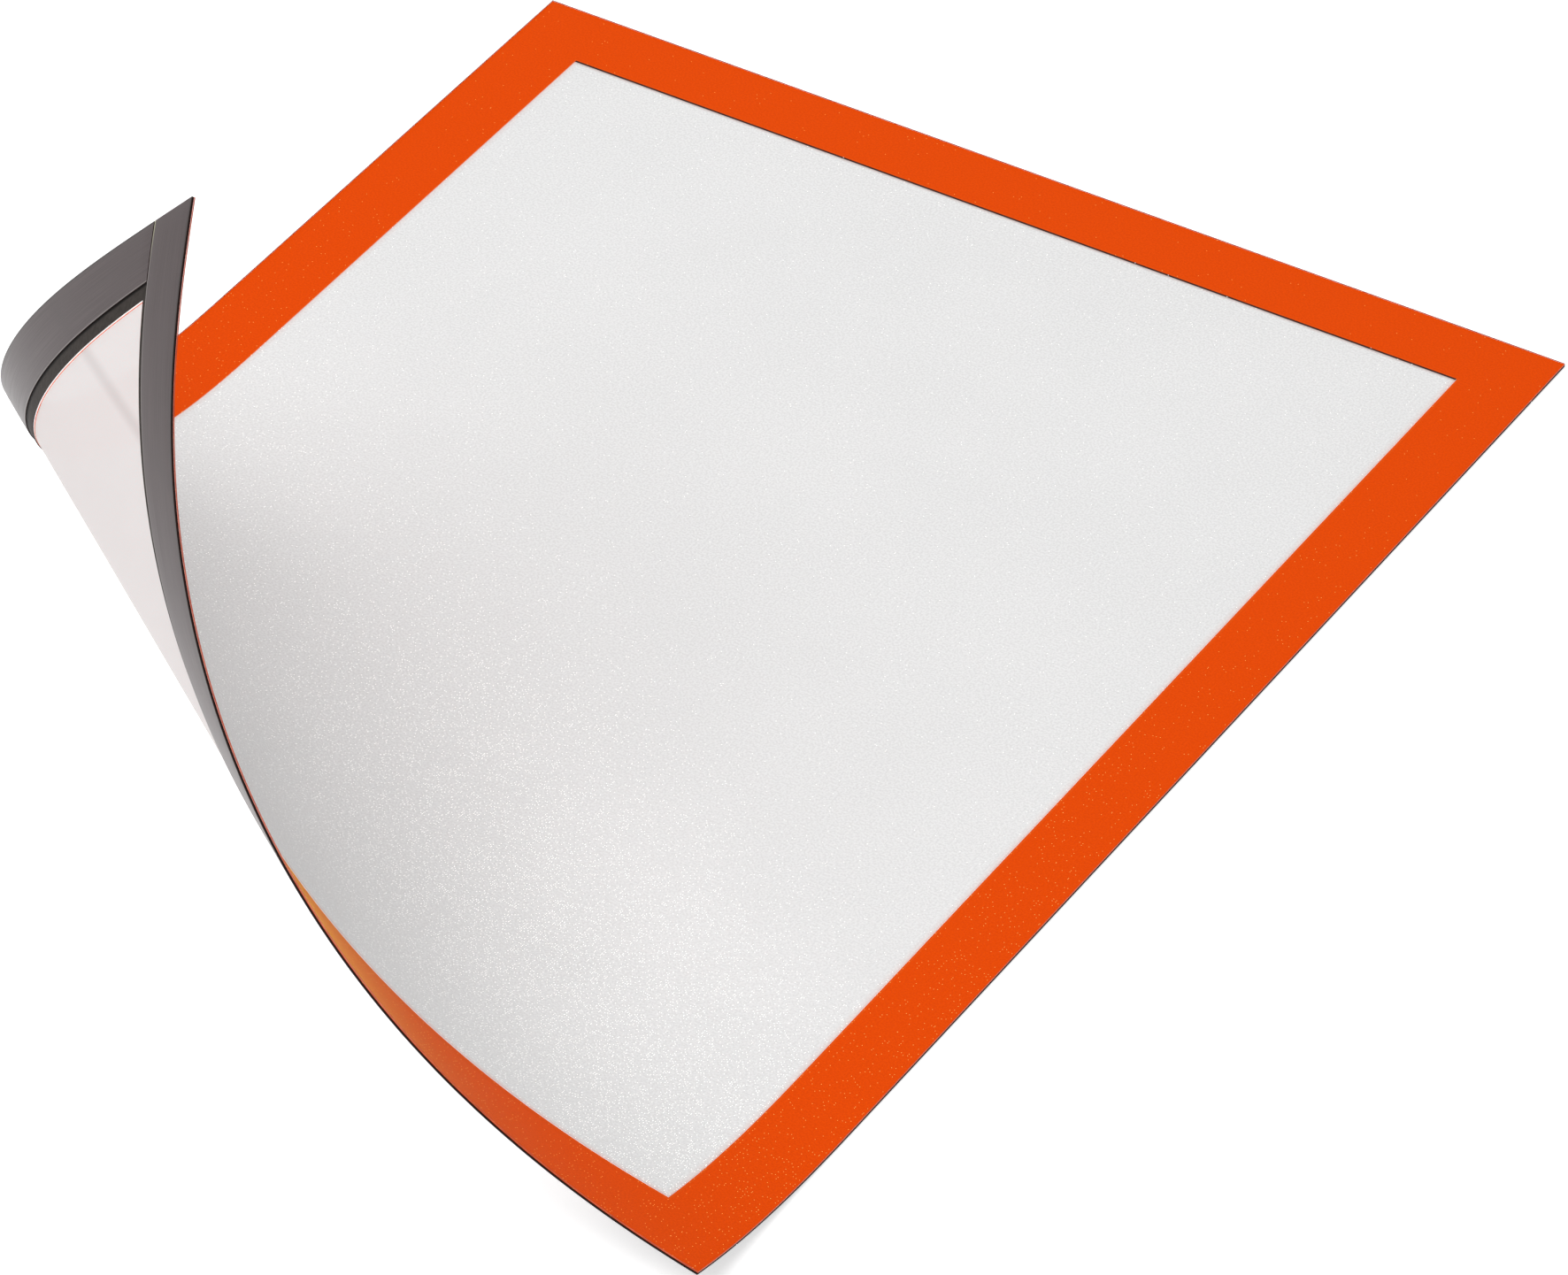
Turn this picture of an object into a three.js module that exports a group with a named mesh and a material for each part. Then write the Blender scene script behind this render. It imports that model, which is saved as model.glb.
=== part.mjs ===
// A document frame for a steel board: a clear film with a coloured border, on a thin dark backing
// frame that carries flat magnet strips. It lies face up, with one corner curled up and over.
import * as THREE from 'three';
import { mergeVertices } from 'three/addons/utils/BufferGeometryUtils.js';

// Outline of the flat sheet, in millimetres
const sheetWidth = 236;
const sheetHeight = 323;

// Width of the coloured border round the window
const borderWidth = 15.7;

// Layers from the front of the sheet to its back, with a thin line of glue between them
const filmThickness = 0.2;
const inkThickness = 0.05;
const backingThickness = 0.2;
const magnetThickness = 0.28;
const glueGap = 0.02;

// Widths of the backing frame's bars, beside the long sides and along the two ends
const backingSideWidth = 15.2;
const backingEndWidth = 15.2;

// Magnet strips: the end strips run the full width, and the side strips stand between them
const sideStripWidth = 12.2;
const endStripWidth = 13.6;
const stripJointGap = 0.35;

// The curl, measured along a spine from the corner: the way the spine runs, how far the curl
// reaches, where it is tightest and how tight. A fullness under 1 spreads the bend more evenly.
const spineLean = 36.8;
const curlReach = 174;
const curlTightestAt = 94.5;
const curlTightestRadius = 51.9;
const curlFullness = 0.91;

// The fold lines fan out: their lean from the bottom edge, in degrees, where the curl begins,
// how much more they lean at the corner, and the distance in which that fades
const foldLean = 29.1;
const foldLeanAtCorner = 37.4;
const foldLeanFade = 65.8;
const foldSpacing = 2.4;

// Colours
const filmColour = 0xe9e5e4;
const borderColour = 0xe74e10;
const backingColour = 0x3a3331;
const magnetColour = 0x5f5857;

// Heights of the layers above the surface that the magnets lie on
const backingBottom = magnetThickness + glueGap;
const backingTop = backingBottom + backingThickness;
const inkBottom = backingTop + glueGap;
const inkTop = inkBottom + inkThickness;
const filmBottom = inkTop + glueGap;
const filmTop = filmBottom + filmThickness;

const degree = Math.PI / 180;
const up = new THREE.Vector3(0, 0, 1);

// Angle between the bottom edge and the fold line at a distance from the curled corner
function leanAt(distance) {
  return (foldLean + foldLeanAtCorner * Math.exp(-distance / foldLeanFade)) * degree;
}

// The bend starts softly, is tightest at one place and dies out toward the tip of the corner
function curvatureAt(distance) {
  const skew = Math.log(0.5) / Math.log(curlTightestAt / curlReach);
  const phase = Math.PI * (distance / curlReach) ** skew;
  return Math.sin(phase) ** curlFullness / curlTightestRadius;
}

// The fold lines from the flat side to the corner, which is at x = 0, y = 0 of the flat sheet.
// A spine runs from that corner into the sheet, and each line crosses it at its own lean.
function makeFolds() {
  const count = Math.round(curlReach / foldSpacing);
  const step = curlReach / count;
  const spine = new THREE.Vector3(Math.sin(spineLean * degree), Math.cos(spineLean * degree), 0);
  const folds = [];
  for (let i = count; i > 0; i--) {
    const distance = (i - 0.5) * step;
    const lean = leanAt(distance);
    folds.push({
      point: spine.clone().multiplyScalar(distance),
      axis: new THREE.Vector3(-Math.cos(lean), Math.sin(lean), 0),
      inward: new THREE.Vector3(Math.sin(lean), Math.cos(lean), 0),
      angle: curvatureAt(distance) * step,
    });
  }
  return folds;
}

// A turn about one fold line, for all of the sheet on its corner side
function foldMatrix(fold) {
  const back = new THREE.Matrix4().makeTranslation(fold.point);
  const turn = new THREE.Matrix4().makeRotationAxis(fold.axis, fold.angle);
  const away = new THREE.Matrix4().makeTranslation(fold.point.clone().negate());
  return back.multiply(turn).multiply(away);
}

// Where each strip of the sheet between two fold lines ends up
function makeStripMatrices(folds) {
  const matrices = [new THREE.Matrix4()];
  for (const fold of folds) {
    const last = matrices[matrices.length - 1];
    matrices.push(last.clone().multiply(foldMatrix(fold)));
  }
  return matrices;
}

const folds = makeFolds();
const stripMatrices = makeStripMatrices(folds);

// Distance of a point of the flat sheet from a fold line, positive on the flat side
function sideOf(fold, corner) {
  const dx = corner.x - fold.point.x;
  const dy = corner.y - fold.point.y;
  return dx * fold.inward.x + dy * fold.inward.y;
}

// Cuts a convex outline along a fold line into its flat-side part and the rest
function splitOutline(outline, index) {
  const fold = folds[index];
  const near = [];
  const rest = [];
  outline.forEach((corner, i) => {
    const next = outline[(i + 1) % outline.length];
    const a = sideOf(fold, corner);
    const b = sideOf(fold, next);
    (a > 0 ? near : rest).push(corner);
    if (a > 0 !== b > 0) {
      const t = a / (a - b);
      const x = corner.x + (next.x - corner.x) * t;
      const y = corner.y + (next.y - corner.y) * t;
      near.push({ x, y, fold: index });
      rest.push({ x, y, fold: index });
    }
  });
  return { near, rest };
}

// Cuts a rectangle of the flat sheet along every fold line that crosses it
function cutIntoStrips(x0, x1, y0, y1) {
  let outline = [{ x: x0, y: y0 }, { x: x1, y: y0 }, { x: x1, y: y1 }, { x: x0, y: y1 }];
  const strips = [];
  for (let i = 0; i < folds.length; i++) {
    const { near, rest } = splitOutline(outline, i);
    if (near.length > 2) {
      strips.push({ outline: near, strip: i });
    }
    outline = rest;
    if (outline.length < 3) {
      return strips;
    }
  }
  strips.push({ outline, strip: folds.length });
  return strips;
}

// The bent place of a corner at a height in the sheet. The film's front face keeps its length,
// so on a fold line the deeper layers are mitred outward, and faces of one strip stay flat.
function bendPoint(corner, strip, height) {
  const depth = height - filmTop;
  const point = new THREE.Vector3(corner.x, corner.y, 0);
  let matrix = stripMatrices[strip];
  if (corner.fold !== undefined) {
    const fold = folds[corner.fold];
    point.addScaledVector(fold.inward, depth * Math.tan(fold.angle / 2));
    matrix = stripMatrices[corner.fold];
  }
  return point.addScaledVector(up, depth).applyMatrix4(matrix).addScaledVector(up, filmTop);
}

function pushTriangle(positions, a, b, c) {
  positions.push(...a.toArray(), ...b.toArray(), ...c.toArray());
}

// The top and the underside of one strip
function pushFaces(positions, top, under) {
  for (let i = 1; i < top.length - 1; i++) {
    pushTriangle(positions, top[0], top[i], top[i + 1]);
    pushTriangle(positions, under[0], under[i + 1], under[i]);
  }
}

// The wall under one side of a strip's outline
function pushWall(positions, top, under, i, next) {
  pushTriangle(positions, under[i], under[next], top[next]);
  pushTriangle(positions, under[i], top[next], top[i]);
}

// One layer of the sheet between two heights, from a grid of cells, bent with the sheet
function bentLayer(xs, ys, isSolid, bottom, top) {
  const positions = [];
  const solidAt = (i, j) => i >= 0 && j >= 0 && i < xs.length - 1 && j < ys.length - 1 && isSolid(i, j);
  const isOpenSide = (i, j, a, b) => {
    const along = (u, v, limit) => u === limit && v === limit;
    return (along(a.x, b.x, xs[i]) && !solidAt(i - 1, j))
      || (along(a.x, b.x, xs[i + 1]) && !solidAt(i + 1, j))
      || (along(a.y, b.y, ys[j]) && !solidAt(i, j - 1))
      || (along(a.y, b.y, ys[j + 1]) && !solidAt(i, j + 1));
  };
  for (let i = 0; i < xs.length - 1; i++) {
    for (let j = 0; j < ys.length - 1; j++) {
      if (!solidAt(i, j)) {
        continue;
      }
      for (const { outline, strip } of cutIntoStrips(xs[i], xs[i + 1], ys[j], ys[j + 1])) {
        const upper = outline.map((corner) => bendPoint(corner, strip, top));
        const under = outline.map((corner) => bendPoint(corner, strip, bottom));
        pushFaces(positions, upper, under);
        outline.forEach((corner, k) => {
          const next = (k + 1) % outline.length;
          if (isOpenSide(i, j, corner, outline[next])) {
            pushWall(positions, upper, under, k, next);
          }
        });
      }
    }
  }
  const geometry = new THREE.BufferGeometry();
  geometry.setAttribute('position', new THREE.Float32BufferAttribute(positions, 3));
  return mergeVertices(geometry);
}

// A full layer, with no window
function plateLayer(x0, x1, y0, y1, bottom, top) {
  return bentLayer([x0, x1], [y0, y1], () => true, bottom, top);
}

// A layer of the sheet's full outline with a window inside bars of the given widths
function frameLayer(sideWidth, endWidth, bottom, top) {
  const xs = [0, sideWidth, sheetWidth - sideWidth, sheetWidth];
  const ys = [0, endWidth, sheetHeight - endWidth, sheetHeight];
  return bentLayer(xs, ys, (i, j) => i !== 1 || j !== 1, bottom, top);
}

function part(name, geometry, material) {
  const mesh = new THREE.Mesh(geometry, material);
  mesh.name = name;
  return mesh;
}

// Clear film with a fine matt grain
function frontFilm() {
  const material = new THREE.MeshStandardMaterial({
    color: filmColour, roughness: 0.45, metalness: 0, transparent: true, opacity: 0.4,
  });
  return part('front_film', plateLayer(0, sheetWidth, 0, sheetHeight, filmBottom, filmTop), material);
}

// Coloured border behind the film
function colourBorder() {
  const material = new THREE.MeshStandardMaterial({ color: borderColour, roughness: 0.5, metalness: 0 });
  return part('colour_border', frameLayer(borderWidth, borderWidth, inkBottom, inkTop), material);
}

// Dark backing frame, cut from one thin sheet
function backingFrame() {
  const geometry = frameLayer(backingSideWidth, backingEndWidth, backingBottom, backingTop);
  const material = new THREE.MeshStandardMaterial({ color: backingColour, roughness: 0.6, metalness: 0 });
  return part('backing_frame', geometry, material);
}

// One flat magnet strip on the back
function magnetStrip(name, x0, x1, y0, y1) {
  const material = new THREE.MeshStandardMaterial({ color: magnetColour, roughness: 0.4, metalness: 0 });
  return part(name, plateLayer(x0, x1, y0, y1, 0, magnetThickness), material);
}

// The four strips, butted with a fine gap where a side strip meets an end strip
function magnetStrips() {
  const sideStart = endStripWidth + stripJointGap;
  const sideEnd = sheetHeight - sideStart;
  const rightStart = sheetWidth - sideStripWidth;
  return [
    magnetStrip('magnet_strip_top', 0, sheetWidth, sheetHeight - endStripWidth, sheetHeight),
    magnetStrip('magnet_strip_bottom', 0, sheetWidth, 0, endStripWidth),
    magnetStrip('magnet_strip_left', 0, sideStripWidth, sideStart, sideEnd),
    magnetStrip('magnet_strip_right', rightStart, sheetWidth, sideStart, sideEnd),
  ];
}

// The whole sheet, with its origin under the middle of its bounding box
function documentFrame() {
  const sheet = new THREE.Group();
  sheet.add(frontFilm(), colourBorder(), backingFrame(), ...magnetStrips());
  const box = new THREE.Box3().setFromObject(sheet);
  const middle = box.getCenter(new THREE.Vector3());
  sheet.position.set(-middle.x, -middle.y, -box.min.z);
  const frame = new THREE.Group();
  frame.add(sheet);
  return frame;
}

export default documentFrame();
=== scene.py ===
# %% [markdown]
# # A magnetic document frame with one corner curled over
# The object is a thin sheet that holds a page against a steel board. Its front is a clear film
# with a fine matt grain, a coloured border is printed behind the film, and the back carries a dark
# frame with flat magnet strips. The sheet lies face up, with one corner curled up and over, so
# both sides show.
#
# We start from the engineering model: its solids are in place and in metres, and every piece that
# we make must lie where they lie.

# %% Load the engineering model
import math

import bpy
from mathutils import Euler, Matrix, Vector


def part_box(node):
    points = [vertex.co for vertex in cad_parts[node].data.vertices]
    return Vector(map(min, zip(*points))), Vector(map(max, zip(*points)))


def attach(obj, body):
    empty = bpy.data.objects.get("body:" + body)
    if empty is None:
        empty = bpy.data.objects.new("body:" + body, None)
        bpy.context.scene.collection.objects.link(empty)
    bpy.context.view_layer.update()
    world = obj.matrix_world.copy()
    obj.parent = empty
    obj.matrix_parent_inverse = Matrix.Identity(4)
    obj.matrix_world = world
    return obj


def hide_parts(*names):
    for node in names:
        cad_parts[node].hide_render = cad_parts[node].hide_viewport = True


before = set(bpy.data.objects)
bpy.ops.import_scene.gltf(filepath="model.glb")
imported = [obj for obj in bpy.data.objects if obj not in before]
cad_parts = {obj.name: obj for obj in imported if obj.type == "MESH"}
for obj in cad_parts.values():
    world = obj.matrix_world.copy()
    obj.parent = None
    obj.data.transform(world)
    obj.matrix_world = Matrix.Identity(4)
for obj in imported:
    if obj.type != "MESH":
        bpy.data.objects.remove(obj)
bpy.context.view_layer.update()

print("nodes:", ", ".join(sorted(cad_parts)))

# %% [markdown]
# ## The sizes of the flat sheet
# A bent sheet is easiest to make flat and to bend afterwards. So we need the flat outline, the
# widths of the bars and the heights of the layers. Most of them can be measured on the solids at
# the top end of the sheet, which lies flat on the surface.

# %% Measure the flat end
MM = 0.001


def far_end_range(node, axis):
    """Least and greatest x or z (axis 0 or 2) of a node at the end of it that lies flat."""
    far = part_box(node)[1][1] - 0.1 * MM
    values = [v.co[axis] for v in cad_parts[node].data.vertices if v.co.y > far]
    return min(values), max(values)


def flat_heights(node):
    return far_end_range(node, 2)


top_low, top_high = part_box("magnet_strip_top")
SHEET_WIDTH = top_high[0] - top_low[0]
END_STRIP_WIDTH = top_high[1] - top_low[1]
SHEET_HEIGHT = 323 * MM
BORDER = 15.7 * MM
BACKING_SIDE = 15.2 * MM
BACKING_END = 15.2 * MM
side_strip_start, side_strip_end = far_end_range("magnet_strip_right", 0)
SIDE_STRIP_WIDTH = side_strip_end - side_strip_start
STRIP_JOINT_GAP = 0.35 * MM
FILM_TOP = flat_heights("front_film")[1]
SHEET_CORNER = Vector((top_low[0], top_high[1] - SHEET_HEIGHT, FILM_TOP))
print("sheet: %.1f x %.1f mm" % (SHEET_WIDTH / MM, SHEET_HEIGHT / MM))
print("end strips: %.2f mm, side strips: %.2f mm" % (END_STRIP_WIDTH / MM, SIDE_STRIP_WIDTH / MM))

# %% [markdown]
# ## The camera
# The camera stands to the lower right of the sheet and looks down on it. It is far away with a
# long lens, because the sheet's parallel edges stay nearly parallel in the picture. It is made
# first, so that each later step can be looked at through it.

# %% Place the camera
CAMERA_FROM_CORNER = Vector((0.9376, -1.1266, 1.1941))
CAMERA_TURN = (51.749, -0.313, 31.606)
LENS = 233.45
SENSOR_WIDTH = 36
SHIFT_X = 0.00705
SHIFT_Y = -0.0009


def add_camera():
    data = bpy.data.cameras.new("camera")
    data.sensor_width = SENSOR_WIDTH
    data.lens = LENS
    data.shift_x = SHIFT_X
    data.shift_y = SHIFT_Y
    camera = bpy.data.objects.new("camera", data)
    camera.location = SHEET_CORNER + CAMERA_FROM_CORNER
    camera.rotation_euler = Euler([math.radians(a) for a in CAMERA_TURN])
    bpy.context.scene.collection.objects.link(camera)
    bpy.context.scene.camera = camera


add_camera()
print("camera stands %.2f m from the curled corner" % CAMERA_FROM_CORNER.length)

# %% [markdown]
# ## Helpers for node trees
# Both materials and Geometry Nodes are trees of nodes. These helpers add a node, set its plain
# inputs and link the others in one call, so that each tree below reads like a recipe.

# %% Node helpers


def feed(tree, socket, value):
    """Sets an input socket to a plain value, or links it from another node's socket."""
    if isinstance(value, bpy.types.NodeSocket):
        tree.links.new(value, socket)
    else:
        socket.default_value = value


def add_node(tree, kind, inputs=None, **settings):
    node = tree.nodes.new(kind)
    for name, value in settings.items():
        setattr(node, name, value)
    for key, value in (inputs or {}).items():
        feed(tree, node.inputs[key], value)
    return node


def calc(tree, operation, *values):
    """One sum of a node tree, such as calc(tree, "MULTIPLY", a, b)."""
    node = add_node(tree, "ShaderNodeMath", operation=operation)
    for i, value in enumerate(values):
        feed(tree, node.inputs[i], value)
    return node.outputs[0]


# %% [markdown]
# ## The curl, as a tree of Geometry Nodes
# A sheet of plastic bends but does not stretch, so it can only curl along straight lines. Near
# the corner these fold lines lean steeply, and further in they fan out toward the far edge. The
# tree takes a flat mesh and turns everything on the corner's side of one fold line by a small
# angle. A repeat zone does this for line after line, from the corner inward, and the many small
# turns add up to one smooth curl. A simple bend modifier would not do, because it bends about one
# fixed axis.

# %% Sizes of the curl
SPINE_LEAN = math.radians(36.8)
CURL = {
    "Reach": 174 * MM,
    "Tightest At": 94.5 * MM,
    "Tightest Radius": 51.9 * MM,
    "Fullness": 0.91,
    "Fold Lean": math.radians(29.1),
    "Lean At Corner": math.radians(37.4),
    "Lean Fade": 65.8 * MM,
}
FOLDS = 290
print("curl: reaches %.0f mm from the corner, tightest radius %.1f mm" % (
    CURL["Reach"] / MM, CURL["Tightest Radius"] / MM))

# %% [markdown]
# ## One fold line
# The fold lines cross a spine that runs from the corner into the sheet. The number of a line gives
# its distance along the spine, and from the distance follow its lean and its small angle. Both are
# written as formulas of the named sizes, so that one size can be changed without the others.

# %% Place and angle of a fold line


def fold_line(tree, given, number):
    """Point, direction, side vector and angle of the fold line with this number."""
    step = calc(tree, "DIVIDE", given["Reach"], given["Folds"])
    distance = calc(tree, "MULTIPLY", calc(tree, "ADD", number, 0.5), step)
    away = calc(tree, "DIVIDE", calc(tree, "MULTIPLY", distance, -1.0), given["Lean Fade"])
    fade = calc(tree, "EXPONENT", away)
    lean = calc(tree, "MULTIPLY_ADD", given["Lean At Corner"], fade, given["Fold Lean"])
    share = calc(tree, "DIVIDE", distance, given["Reach"])
    peak = calc(tree, "DIVIDE", given["Tightest At"], given["Reach"])
    skew = calc(tree, "LOGARITHM", 0.5, peak)
    phase = calc(tree, "MULTIPLY", calc(tree, "POWER", share, skew), math.pi)
    bend = calc(tree, "POWER", calc(tree, "SINE", phase), given["Fullness"])
    angle = calc(tree, "DIVIDE", calc(tree, "MULTIPLY", bend, step), given["Tightest Radius"])
    sine = calc(tree, "SINE", lean)
    cosine = calc(tree, "COSINE", lean)
    point = add_node(tree, "ShaderNodeCombineXYZ", {
        "X": calc(tree, "MULTIPLY", distance, math.sin(SPINE_LEAN)),
        "Y": calc(tree, "MULTIPLY", distance, math.cos(SPINE_LEAN)),
    }).outputs[0]
    axis = add_node(tree, "ShaderNodeCombineXYZ", {
        "X": calc(tree, "MULTIPLY", cosine, -1.0), "Y": sine}).outputs[0]
    inward = add_node(tree, "ShaderNodeCombineXYZ", {"X": sine, "Y": cosine}).outputs[0]
    return point, axis, inward, angle


# %% [markdown]
# ## One turn
# The tree asks on which side of the line each point lay when the sheet was flat. So it needs the
# flat place of every point, which was stored before the first turn, beside the place of now.

# %% Turn about a fold line


def turn_about_fold(tree, given, mesh, number):
    """Turns the points of a mesh that lie on the corner's side of one fold line."""
    point, axis, inward, angle = fold_line(tree, given, number)
    flat = add_node(tree, "GeometryNodeInputNamedAttribute", {"Name": "flat_place"},
                    data_type="FLOAT_VECTOR")
    away = add_node(tree, "ShaderNodeVectorMath", {0: flat.outputs[0], 1: point}, operation="SUBTRACT")
    side = add_node(tree, "ShaderNodeVectorMath", {0: away.outputs[0], 1: inward},
                    operation="DOT_PRODUCT")
    is_corner_side = calc(tree, "LESS_THAN", side.outputs["Value"], 0.0)
    place = add_node(tree, "GeometryNodeInputPosition").outputs[0]
    turned = add_node(tree, "ShaderNodeVectorRotate", {
        "Vector": place, "Center": point, "Axis": axis, "Angle": angle}, rotation_type="AXIS_ANGLE")
    moved = add_node(tree, "GeometryNodeSetPosition", {
        "Geometry": mesh, "Selection": is_corner_side, "Position": turned.outputs[0]})
    return moved.outputs[0]


# %% [markdown]
# ## The whole tree
# The named inputs come first, then the repeated turns, then the move to the sheet's place. At the
# end the three kinds of faces get their finishes: front, back and cut edge.

# %% Build the curl tree


def add_inputs(tree):
    for name in CURL:
        tree.interface.new_socket(name, in_out="INPUT", socket_type="NodeSocketFloat")
    tree.interface.new_socket("Folds", in_out="INPUT", socket_type="NodeSocketInt")
    tree.interface.new_socket("Place", in_out="INPUT", socket_type="NodeSocketVector")
    for name in ("Front Finish", "Back Finish", "Edge Finish"):
        tree.interface.new_socket(name, in_out="INPUT", socket_type="NodeSocketMaterial")


def paint_side(tree, mesh, finish, number):
    """Gives the faces that were marked with this side number their own finish."""
    mark = add_node(tree, "GeometryNodeInputNamedAttribute", {"Name": "side"}, data_type="INT")
    chosen = add_node(tree, "FunctionNodeCompare", {2: mark.outputs[0], 3: number},
                      data_type="INT", operation="EQUAL")
    return add_node(tree, "GeometryNodeSetMaterial", {
        "Geometry": mesh, "Selection": chosen.outputs[0], "Material": finish}).outputs[0]


def build_curl_tree():
    tree = bpy.data.node_groups.new("curl_a_flat_sheet", "GeometryNodeTree")
    tree.interface.new_socket("Geometry", in_out="INPUT", socket_type="NodeSocketGeometry")
    tree.interface.new_socket("Geometry", in_out="OUTPUT", socket_type="NodeSocketGeometry")
    add_inputs(tree)
    given = tree.nodes.new("NodeGroupInput").outputs
    flat = add_node(tree, "GeometryNodeInputPosition").outputs[0]
    marked = add_node(tree, "GeometryNodeStoreNamedAttribute", {
        "Geometry": given["Geometry"], "Name": "flat_place", "Value": flat}, data_type="FLOAT_VECTOR")
    first = tree.nodes.new("GeometryNodeRepeatInput")
    last = tree.nodes.new("GeometryNodeRepeatOutput")
    first.pair_with_output(last)
    feed(tree, first.inputs["Iterations"], given["Folds"])
    feed(tree, first.inputs["Geometry"], marked.outputs[0])
    turned = turn_about_fold(tree, given, first.outputs["Geometry"], first.outputs["Iteration"])
    feed(tree, last.inputs["Geometry"], turned)
    placed = add_node(tree, "GeometryNodeTransform", {
        "Geometry": last.outputs["Geometry"], "Translation": given["Place"]}).outputs[0]
    mesh = add_node(tree, "GeometryNodeRealizeInstances", {"Geometry": placed}).outputs[0]
    for number, finish in enumerate(("Front Finish", "Back Finish", "Edge Finish")):
        mesh = paint_side(tree, mesh, given[finish], number)
    output = tree.nodes.new("NodeGroupOutput")
    feed(tree, output.inputs[0], mesh)
    return tree


curl_tree = build_curl_tree()
print("curl tree:", len(curl_tree.nodes), "nodes,", FOLDS, "folds")

# %% [markdown]
# ## The grid of a flat layer
# Each layer starts as a flat plate. It needs many points where the curl will be, because a straight
# side between two points can't bend, and few where the sheet stays flat. The lines of the grid
# also fall on the edges of the window.

# %% Grid lines
GRID = 2 * MM
COARSE_GRID = 12 * MM
FLAT_FROM = 200 * MM


def grid_lines(start, end, spacing):
    count = max(1, round((end - start) / spacing))
    return [start + (end - start) * i / count for i in range(count)]


def lines_through(stops, spacing_of):
    """Grid lines between the given stops, with the spacing that each stretch needs."""
    lines = []
    for start, end in zip(stops, stops[1:]):
        lines += grid_lines(start, end, spacing_of(start, end))
    return lines + [stops[-1]]


def rows_and_columns(xs, ys):
    ys = sorted(set(ys) | ({FLAT_FROM} if ys[0] < FLAT_FROM < ys[-1] else set()))
    columns = lines_through(xs, lambda a, b: GRID)
    rows = lines_through(ys, lambda a, b: GRID if a < FLAT_FROM else COARSE_GRID)
    return columns, rows


# %% [markdown]
# ## The faces of one cell
# Each cell of the grid gives a face on the front and one on the back, and a wall wherever the next
# cell is open. The faces are marked as front, back or cut edge, so that each kind can get its own
# finish. The UV map holds the flat place in metres, so that grain and print follow the sheet.

# %% Faces, marks and UV map
FRONT, BACK, EDGE = 0, 1, 2
NEIGHBOURS = (((0, -1), (0, 0), (1, 0)), ((1, 0), (1, 0), (1, 1)),
              ((0, 1), (1, 1), (0, 1)), ((-1, 0), (0, 1), (0, 0)))


def cell_faces(i, j, is_solid):
    """Each face of a cell: the side it belongs to, and its corners by column, row and level."""
    yield FRONT, ((i, j, 1), (i + 1, j, 1), (i + 1, j + 1, 1), (i, j + 1, 1))
    yield BACK, ((i, j, 0), (i, j + 1, 0), (i + 1, j + 1, 0), (i + 1, j, 0))
    for (di, dj), (ai, aj), (bi, bj) in NEIGHBOURS:
        if not is_solid(i + di, j + dj):
            a = (i + ai, j + aj)
            b = (i + bi, j + bj)
            yield EDGE, ((*a, 0), (*b, 0), (*b, 1), (*a, 1))


def mark_mesh(mesh, sides):
    mesh.attributes.new("side", "INT", "FACE").data.foreach_set("value", sides)
    uv = mesh.uv_layers.new(name="flat")
    for loop in mesh.loops:
        uv.data[loop.index].uv = mesh.vertices[loop.vertex_index].co.xy


# %% [markdown]
# ## Plates and frames
# A layer is a closed plate between two heights, or a frame round a window. The corners that
# neighbouring faces share are made only once, so that the mesh has no seams to tear in the curl.

# %% Make a flat layer


def flat_layer(name, xs, ys, low, high, window=False, ease=0.0):
    """A plate or, with a window in its middle, a frame. The rim of its back can be eased."""
    columns, rows = rows_and_columns(xs, ys)
    points, faces, sides, index = [], [], [], {}

    def is_solid(i, j):
        if not (0 <= i < len(columns) - 1 and 0 <= j < len(rows) - 1):
            return False
        if not window:
            return True
        x = (columns[i] + columns[i + 1]) / 2
        y = (rows[j] + rows[j + 1]) / 2
        return not (xs[1] < x < xs[2] and ys[1] < y < ys[2])

    def corner(i, j, level):
        key = (i, j, level)
        if key not in index:
            rim = i in (0, len(columns) - 1) or j in (0, len(rows) - 1)
            height = high if level else low + (ease if rim else 0.0)
            index[key] = len(points)
            points.append((columns[i], rows[j], height))
        return index[key]

    cells = [(i, j) for i in range(len(columns) - 1) for j in range(len(rows) - 1) if is_solid(i, j)]
    for i, j in cells:
        for side, corners in cell_faces(i, j, is_solid):
            faces.append([corner(*c) for c in corners])
            sides.append(side)
    mesh = bpy.data.meshes.new(name)
    mesh.from_pydata(points, [], faces)
    mark_mesh(mesh, sides)
    return mesh


def frame_layer(name, side_width, end_width, low, high):
    """A flat frame of the sheet's outline, given by its bars' widths and its measured heights."""
    xs = [0, side_width, SHEET_WIDTH - side_width, SHEET_WIDTH]
    ys = [0, end_width, SHEET_HEIGHT - end_width, SHEET_HEIGHT]
    return flat_layer(name, xs, ys, low - FILM_TOP, high - FILM_TOP, window=True)


# %% [markdown]
# ## From a flat layer to a curled piece
# The finished piece should be a plain mesh that needs no modifier. So the tree runs once on a
# draft object, and its result becomes the mesh of a new object at the origin.

# %% Curl a flat layer
SHARP_ANGLE = math.radians(35)


def set_input(modifier, name, value):
    """A modifier's input is set by its socket's identifier, which differs from its name."""
    for item in modifier.node_group.interface.items_tree:
        if item.item_type == "SOCKET" and item.in_out == "INPUT" and item.name == name:
            modifier[item.identifier] = value


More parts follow.
